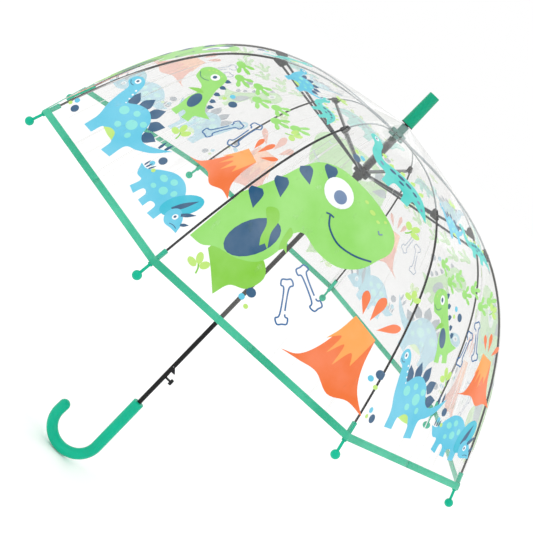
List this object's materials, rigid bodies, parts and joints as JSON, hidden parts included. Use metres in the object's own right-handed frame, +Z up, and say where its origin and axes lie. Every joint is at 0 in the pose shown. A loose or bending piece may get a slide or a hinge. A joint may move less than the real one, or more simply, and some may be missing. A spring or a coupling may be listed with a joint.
{
  "type": "children's umbrella",
  "caption": "Open clear dome umbrella for a child, with steel ribs, stretchers on a sliding runner, coil spring, release knob, round rib tips, ferrule and J-shaped grip.",
  "frame": {"origin": "on the shaft's axis at the middle of the straight part of the grip", "axes": "+Z up along the shaft to the ferrule; the crook turns towards -X and the release knob faces +X"},
  "size_m": [0.7232, 0.7232, 0.681],
  "materials": {
    "grip_green": "glossy moulded green plastic",
    "tip_green": "glossy moulded green plastic",
    "clear_film": "clear soft film with a faint haze",
    "hem_green": "translucent green binding tape",
    "print_ink": "screen-printed ink on the film",
    "black_steel": "black enamel",
    "grey_steel": "dark grey enamel",
    "bright_steel": "plated steel",
    "spring_steel": "dark spring steel",
    "dark_plastic": "black moulded plastic",
    "teal_plastic": "grey-green moulded plastic"
  },
  "bodies": {
    "root": {"shaft": "black_steel", "handle": "grip_green", "ferrule": "grip_green", "film_washer": "dark_plastic", "crown": "teal_plastic", "crown_wire": "bright_steel", "canopy_film": "clear_film", "hem_tape": "hem_green", "opening_spring": "spring_steel", "catch_pin": "bright_steel", "latch_spring": "spring_steel"},
    "runner_set": {"runner": "dark_plastic", "runner_wire": "bright_steel", "buffer_spring": "spring_steel", "drive_pin": "bright_steel"},
    "knob": {"release_knob": "dark_plastic"},
    "catch": {"runner_catch": "black_steel"},
    "upper_rib_1": {"rib_upper_1": "bright_steel", "rib_bracket_1": "dark_plastic"},
    "lower_rib_1": {"rib_lower_1": "black_steel", "rib_tip_1": "tip_green"},
    "stretcher_arm_1": {"stretcher_1": "grey_steel"},
    "upper_rib_2": {"rib_upper_2": "bright_steel", "rib_bracket_2": "dark_plastic"},
    "lower_rib_2": {"rib_lower_2": "black_steel", "rib_tip_2": "tip_green"},
    "stretcher_arm_2": {"stretcher_2": "grey_steel"},
    "upper_rib_3": {"rib_upper_3": "bright_steel", "rib_bracket_3": "dark_plastic"},
    "lower_rib_3": {"rib_lower_3": "black_steel", "rib_tip_3": "tip_green"},
    "stretcher_arm_3": {"stretcher_3": "grey_steel"},
    "upper_rib_4": {"rib_upper_4": "bright_steel", "rib_bracket_4": "dark_plastic"},
    "lower_rib_4": {"rib_lower_4": "black_steel", "rib_tip_4": "tip_green"},
    "stretcher_arm_4": {"stretcher_4": "grey_steel"},
    "upper_rib_5": {"rib_upper_5": "bright_steel", "rib_bracket_5": "dark_plastic"},
    "lower_rib_5": {"rib_lower_5": "black_steel", "rib_tip_5": "tip_green"},
    "stretcher_arm_5": {"stretcher_5": "grey_steel"},
    "upper_rib_6": {"rib_upper_6": "bright_steel", "rib_bracket_6": "dark_plastic"},
    "lower_rib_6": {"rib_lower_6": "black_steel", "rib_tip_6": "tip_green"},
    "stretcher_arm_6": {"stretcher_6": "grey_steel"},
    "upper_rib_7": {"rib_upper_7": "bright_steel", "rib_bracket_7": "dark_plastic"},
    "lower_rib_7": {"rib_lower_7": "black_steel", "rib_tip_7": "tip_green"},
    "stretcher_arm_7": {"stretcher_7": "grey_steel"},
    "upper_rib_8": {"rib_upper_8": "bright_steel", "rib_bracket_8": "dark_plastic"},
    "lower_rib_8": {"rib_lower_8": "black_steel", "rib_tip_8": "tip_green"},
    "stretcher_arm_8": {"stretcher_8": "grey_steel"}
  },
  "joints": [
    {"name": "canopy_fold", "type": "hinge", "parent": "root", "child": "upper_rib_1", "pos_m": [0.0069, 0.00405, 0.5289], "axis": [-0.506, 0.8625, 0], "range_deg": [0, 75.83], "stiffness_Nm_per_rad": 1.2, "springref_deg": -68.75, "deforming": ["canopy_film", "hem_tape", "opening_spring"]},
    {"name": "rib_flex_1", "type": "hinge", "parent": "upper_rib_1", "child": "lower_rib_1", "pos_m": [0.15896, 0.09326, 0.49729], "axis": [-0.506, 0.8625, 0], "range_deg": [-38.12, 0]},
    {"name": "stretcher_swing_1", "type": "hinge", "parent": "upper_rib_1", "child": "stretcher_arm_1", "pos_m": [0.15896, 0.09326, 0.49729], "axis": [-0.506, 0.8625, 0], "range_deg": [-151.68, 0]},
    {"name": "rib_fold_2", "type": "hinge", "parent": "root", "child": "upper_rib_2", "pos_m": [0.00202, 0.00774, 0.5289], "axis": [-0.9677, 0.2521, 0], "range_deg": [0, 75.83]},
    {"name": "rib_flex_2", "type": "hinge", "parent": "upper_rib_2", "child": "lower_rib_2", "pos_m": [0.04646, 0.17835, 0.49729], "axis": [-0.9677, 0.2521, 0], "range_deg": [-38.12, 0]},
    {"name": "stretcher_swing_2", "type": "hinge", "parent": "upper_rib_2", "child": "stretcher_arm_2", "pos_m": [0.04646, 0.17835, 0.49729], "axis": [-0.9677, 0.2521, 0], "range_deg": [-151.68, 0]},
    {"name": "rib_fold_3", "type": "hinge", "parent": "root", "child": "upper_rib_3", "pos_m": [-0.00405, 0.0069, 0.5289], "axis": [-0.8625, -0.506, 0], "range_deg": [0, 75.83]},
    {"name": "rib_flex_3", "type": "hinge", "parent": "upper_rib_3", "child": "lower_rib_3", "pos_m": [-0.09326, 0.15896, 0.49729], "axis": [-0.8625, -0.506, 0], "range_deg": [-38.12, 0]},
    {"name": "stretcher_swing_3", "type": "hinge", "parent": "upper_rib_3", "child": "stretcher_arm_3", "pos_m": [-0.09326, 0.15896, 0.49729], "axis": [-0.8625, -0.506, 0], "range_deg": [-151.68, 0]},
    {"name": "rib_fold_4", "type": "hinge", "parent": "root", "child": "upper_rib_4", "pos_m": [-0.00774, 0.00202, 0.5289], "axis": [-0.2521, -0.9677, 0], "range_deg": [0, 75.83]},
    {"name": "rib_flex_4", "type": "hinge", "parent": "upper_rib_4", "child": "lower_rib_4", "pos_m": [-0.17835, 0.04646, 0.49729], "axis": [-0.2521, -0.9677, 0], "range_deg": [-38.12, 0]},
    {"name": "stretcher_swing_4", "type": "hinge", "parent": "upper_rib_4", "child": "stretcher_arm_4", "pos_m": [-0.17835, 0.04646, 0.49729], "axis": [-0.2521, -0.9677, 0], "range_deg": [-151.68, 0]},
    {"name": "rib_fold_5", "type": "hinge", "parent": "root", "child": "upper_rib_5", "pos_m": [-0.0069, -0.00405, 0.5289], "axis": [0.506, -0.8625, 0], "range_deg": [0, 75.83]},
    {"name": "rib_flex_5", "type": "hinge", "parent": "upper_rib_5", "child": "lower_rib_5", "pos_m": [-0.15896, -0.09326, 0.49729], "axis": [0.506, -0.8625, 0], "range_deg": [-38.12, 0]},
    {"name": "stretcher_swing_5", "type": "hinge", "parent": "upper_rib_5", "child": "stretcher_arm_5", "pos_m": [-0.15896, -0.09326, 0.49729], "axis": [0.506, -0.8625, 0], "range_deg": [-151.68, 0]},
    {"name": "rib_fold_6", "type": "hinge", "parent": "root", "child": "upper_rib_6", "pos_m": [-0.00202, -0.00774, 0.5289], "axis": [0.9677, -0.2521, 0], "range_deg": [0, 75.83]},
    {"name": "rib_flex_6", "type": "hinge", "parent": "upper_rib_6", "child": "lower_rib_6", "pos_m": [-0.04646, -0.17835, 0.49729], "axis": [0.9677, -0.2521, 0], "range_deg": [-38.12, 0]},
    {"name": "stretcher_swing_6", "type": "hinge", "parent": "upper_rib_6", "child": "stretcher_arm_6", "pos_m": [-0.04646, -0.17835, 0.49729], "axis": [0.9677, -0.2521, 0], "range_deg": [-151.68, 0]},
    {"name": "rib_fold_7", "type": "hinge", "parent": "root", "child": "upper_rib_7", "pos_m": [0.00405, -0.0069, 0.5289], "axis": [0.8625, 0.506, 0], "range_deg": [0, 75.83]},
    {"name": "rib_flex_7", "type": "hinge", "parent": "upper_rib_7", "child": "lower_rib_7", "pos_m": [0.09326, -0.15896, 0.49729], "axis": [0.8625, 0.506, 0], "range_deg": [-38.12, 0]},
    {"name": "stretcher_swing_7", "type": "hinge", "parent": "upper_rib_7", "child": "stretcher_arm_7", "pos_m": [0.09326, -0.15896, 0.49729], "axis": [0.8625, 0.506, 0], "range_deg": [-151.68, 0]},
    {"name": "rib_fold_8", "type": "hinge", "parent": "root", "child": "upper_rib_8", "pos_m": [0.00774, -0.00202, 0.5289], "axis": [0.2521, 0.9677, 0], "range_deg": [0, 75.83]},
    {"name": "rib_flex_8", "type": "hinge", "parent": "upper_rib_8", "child": "lower_rib_8", "pos_m": [0.17835, -0.04646, 0.49729], "axis": [0.2521, 0.9677, 0], "range_deg": [-38.12, 0]},
    {"name": "stretcher_swing_8", "type": "hinge", "parent": "upper_rib_8", "child": "stretcher_arm_8", "pos_m": [0.17835, -0.04646, 0.49729], "axis": [0.2521, 0.9677, 0], "range_deg": [-151.68, 0]},
    {"name": "runner_hang", "type": "hinge", "parent": "stretcher_arm_1", "child": "runner_set", "pos_m": [0.0069, 0.00405, 0.46568], "axis": [-0.506, 0.8625, 0], "range_deg": [0, 75.83]},
    {"name": "knob_press", "type": "slide", "parent": "root", "child": "knob", "axis": [-1, 0, 0], "range_m": [0, 0.0025], "stiffness_N_per_m": 1200, "springref_m": -0.0015},
    {"name": "catch_turn", "type": "hinge", "parent": "root", "child": "catch", "pos_m": [0.0002, 0, 0.1111], "axis": [0, 1, 0], "range_deg": [0, 31]}
  ],
  "couplings": [
    {"joint": "rib_flex_1", "follows": "canopy_fold", "ratio": -0.5019},
    {"joint": "stretcher_swing_1", "follows": "canopy_fold", "ratio": -2},
    {"joint": "rib_fold_2", "follows": "canopy_fold", "ratio": 1},
    {"joint": "rib_flex_2", "follows": "canopy_fold", "ratio": -0.5019},
    {"joint": "stretcher_swing_2", "follows": "canopy_fold", "ratio": -2},
    {"joint": "rib_fold_3", "follows": "canopy_fold", "ratio": 1},
    {"joint": "rib_flex_3", "follows": "canopy_fold", "ratio": -0.5019},
    {"joint": "stretcher_swing_3", "follows": "canopy_fold", "ratio": -2},
    {"joint": "rib_fold_4", "follows": "canopy_fold", "ratio": 1},
    {"joint": "rib_flex_4", "follows": "canopy_fold", "ratio": -0.5019},
    {"joint": "stretcher_swing_4", "follows": "canopy_fold", "ratio": -2},
    {"joint": "rib_fold_5", "follows": "canopy_fold", "ratio": 1},
    {"joint": "rib_flex_5", "follows": "canopy_fold", "ratio": -0.5019},
    {"joint": "stretcher_swing_5", "follows": "canopy_fold", "ratio": -2},
    {"joint": "rib_fold_6", "follows": "canopy_fold", "ratio": 1},
    {"joint": "rib_flex_6", "follows": "canopy_fold", "ratio": -0.5019},
    {"joint": "stretcher_swing_6", "follows": "canopy_fold", "ratio": -2},
    {"joint": "rib_fold_7", "follows": "canopy_fold", "ratio": 1},
    {"joint": "rib_flex_7", "follows": "canopy_fold", "ratio": -0.5019},
    {"joint": "stretcher_swing_7", "follows": "canopy_fold", "ratio": -2},
    {"joint": "rib_fold_8", "follows": "canopy_fold", "ratio": 1},
    {"joint": "rib_flex_8", "follows": "canopy_fold", "ratio": -0.5019},
    {"joint": "stretcher_swing_8", "follows": "canopy_fold", "ratio": -2},
    {"joint": "runner_hang", "follows": "canopy_fold", "ratio": 1},
    {"joint": "catch_turn", "follows": "knob_press", "rad_per_m": 216.35}
  ]
}
